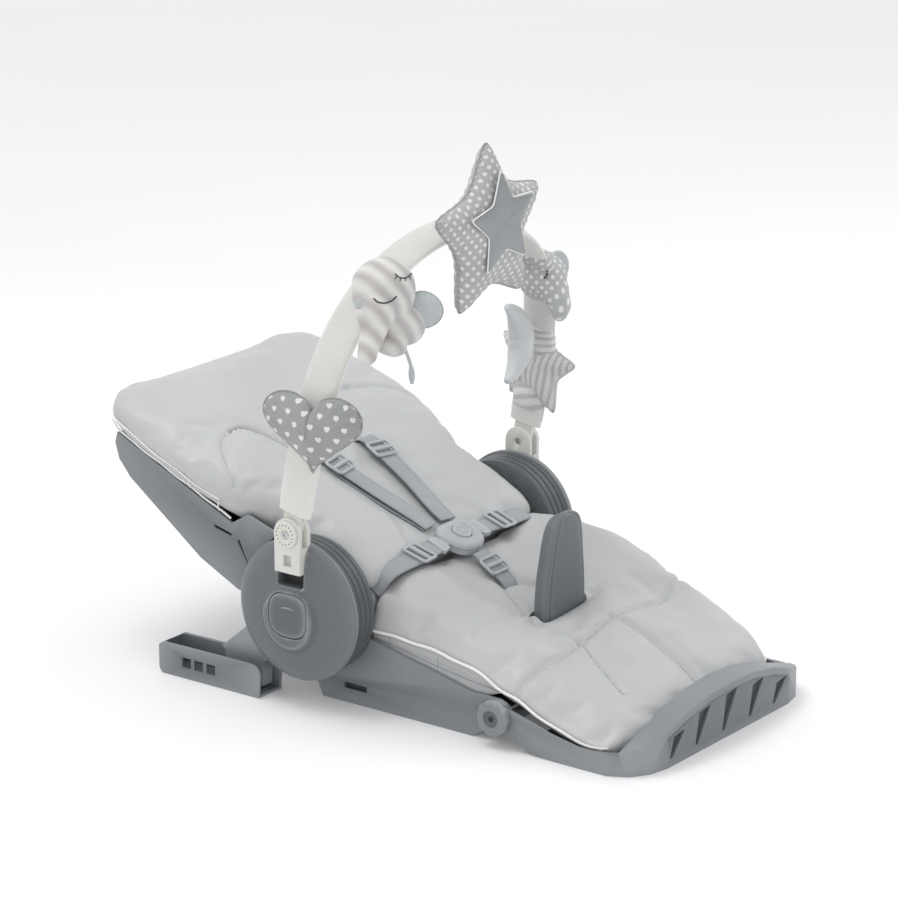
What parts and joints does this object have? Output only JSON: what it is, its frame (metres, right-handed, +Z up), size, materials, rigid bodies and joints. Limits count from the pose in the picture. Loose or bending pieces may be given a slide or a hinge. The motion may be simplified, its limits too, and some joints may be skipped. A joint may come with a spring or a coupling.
{
  "type": "bouncer seat",
  "caption": "Low infant bouncer seat with a padded reclining back, tilting leg rest, five-point harness, crotch post and a removable arched toy bar.",
  "frame": {"origin": "on the floor under the middle of the object's box", "axes": "+Z up, +Y towards the head end, +X towards the child's left"},
  "size_m": [0.488, 0.7673, 0.6259],
  "materials": {
    "dark_plastic": "fine moulded texture",
    "deep_plastic": "matt",
    "leatherette": "smooth soft leatherette",
    "light_plastic": "satin",
    "ivory_plastic": "satin",
    "webbing": "woven",
    "steel": "satin",
    "white_cloth": "woven cotton",
    "grey_plush": "woven cotton",
    "mirror_film": "polished film"
  },
  "bodies": {
    "base": {"base_shell": "dark_plastic", "seat_pad": "leatherette", "knee_pad": "leatherette", "buckle_housing": "light_plastic", "crotch_strap": "webbing", "crease_pad": "leatherette", "hub_housing_right": "dark_plastic", "hub_cover_right": "dark_plastic", "hinge_cap_right": "dark_plastic", "button_spring_right": "steel", "waist_strap_right": "webbing", "hub_housing_left": "dark_plastic", "hub_cover_left": "dark_plastic", "hinge_cap_left": "dark_plastic", "button_spring_left": "steel", "waist_strap_left": "webbing"},
    "backrest": {"backrest_shell": "dark_plastic", "backrest_pad": "leatherette", "pivot_shaft": "steel", "recline_ring_right": "deep_plastic", "shoulder_strap_right": "webbing", "recline_ring_left": "deep_plastic", "shoulder_strap_left": "webbing"},
    "leg_rest": {"leg_rest_tray": "dark_plastic", "leg_rest_pad": "leatherette"},
    "toy_bar_clips": {"toy_bar_clip_right": "ivory_plastic", "toy_bar_clip_left": "ivory_plastic"},
    "toy_bar": {"toy_bar_arch": "white_cloth", "ratchet_disc_right": "ivory_plastic", "ratchet_disc_left": "ivory_plastic", "heart_toy": "grey_plush", "star_toy": "grey_plush", "star_mirror": "mirror_film", "elephant_toy": "grey_plush", "small_elephant_toy": "grey_plush", "moon_toy": "grey_plush", "striped_star_toy": "white_cloth"},
    "buckle_release": {"buckle_button": "light_plastic"},
    "post": {"crotch_post": "dark_plastic"},
    "crotch_slider": {"crotch_adjuster": "light_plastic"},
    "button_right": {"recline_button_right": "dark_plastic", "lock_gear_right": "ivory_plastic"},
    "foot_right": {"rear_foot_right": "dark_plastic"},
    "tongue_right": {"buckle_tongue_right": "light_plastic"},
    "shoulder_slider_right": {"shoulder_adjuster_right": "light_plastic"},
    "waist_slider_right": {"waist_adjuster_right": "light_plastic"},
    "button_left": {"recline_button_left": "dark_plastic", "lock_gear_left": "ivory_plastic"},
    "foot_left": {"rear_foot_left": "dark_plastic"},
    "tongue_left": {"buckle_tongue_left": "light_plastic"},
    "shoulder_slider_left": {"shoulder_adjuster_left": "light_plastic"},
    "waist_slider_left": {"waist_adjuster_left": "light_plastic"}
  },
  "joints": [
    {"name": "backrest_recline", "type": "hinge", "parent": "base", "child": "backrest", "pos_m": [0, 0.0612, 0.114], "axis": [1, 0, 0], "range_deg": [-10, 30], "deforming": ["crease_pad", "shoulder_strap_right", "shoulder_strap_left"]},
    {"name": "leg_rest_tilt", "type": "hinge", "parent": "base", "child": "leg_rest", "pos_m": [0, -0.1898, 0.034], "axis": [-1, 0, 0], "range_deg": [0, 20], "deforming": ["knee_pad"]},
    {"name": "toy_bar_lift", "type": "slide", "parent": "base", "child": "toy_bar_clips", "axis": [0, 0, 1], "range_m": [0, 0.055]},
    {"name": "toy_bar_tilt", "type": "hinge", "parent": "toy_bar_clips", "child": "toy_bar", "pos_m": [0, 0.0612, 0.208], "axis": [1, 0, 0], "range_deg": [-15, 35]},
    {"name": "recline_button_right_press", "type": "slide", "parent": "base", "child": "button_right", "axis": [1, 0, 0], "range_m": [0, 0.009], "stiffness_N_per_m": 400, "springref_m": -0.003, "deforming": ["button_spring_right"]},
    {"name": "recline_button_left_press", "type": "slide", "parent": "base", "child": "button_left", "axis": [-1, 0, 0], "range_m": [0, 0.009], "stiffness_N_per_m": 400, "springref_m": -0.003, "deforming": ["button_spring_left"]},
    {"name": "buckle_button_press", "type": "slide", "parent": "base", "child": "buckle_release", "axis": [0, 0.3746, -0.9272], "range_m": [0, 0.0025], "stiffness_N_per_m": 500, "springref_m": -0.002},
    {"name": "buckle_tongue_right_pull", "type": "slide", "parent": "base", "child": "tongue_right", "axis": [-1, 0, 0], "range_m": [0, 0.015], "deforming": ["waist_strap_right"]},
    {"name": "buckle_tongue_left_pull", "type": "slide", "parent": "base", "child": "tongue_left", "axis": [1, 0, 0], "range_m": [0, 0.015], "deforming": ["waist_strap_left"]},
    {"name": "shoulder_adjuster_right_slide", "type": "slide", "parent": "backrest", "child": "shoulder_slider_right", "axis": [-0.1483, 0.8923, 0.4265], "range_m": [-0.03, 0.003]},
    {"name": "shoulder_adjuster_left_slide", "type": "slide", "parent": "backrest", "child": "shoulder_slider_left", "axis": [0.1483, 0.8923, 0.4265], "range_m": [-0.03, 0.003]},
    {"name": "waist_adjuster_right_slide", "type": "slide", "parent": "base", "child": "waist_slider_right", "axis": [-0.9982, -0.0512, -0.032], "range_m": [0, 0.02]},
    {"name": "waist_adjuster_left_slide", "type": "slide", "parent": "base", "child": "waist_slider_left", "axis": [0.9982, -0.0512, -0.032], "range_m": [0, 0.02]},
    {"name": "crotch_adjuster_slide", "type": "slide", "parent": "base", "child": "crotch_slider", "axis": [0, -0.8441, -0.5361], "range_m": [-0.004, 0.004]},
    {"name": "rear_foot_right_slide", "type": "slide", "parent": "base", "child": "foot_right", "axis": [0, 1, 0], "range_m": [0, 0.045]},
    {"name": "rear_foot_left_slide", "type": "slide", "parent": "base", "child": "foot_left", "axis": [0, 1, 0], "range_m": [0, 0.045]},
    {"name": "crotch_post_lift", "type": "slide", "parent": "base", "child": "post", "axis": [0, 0, 1], "range_m": [0, 0.04]}
  ]
}
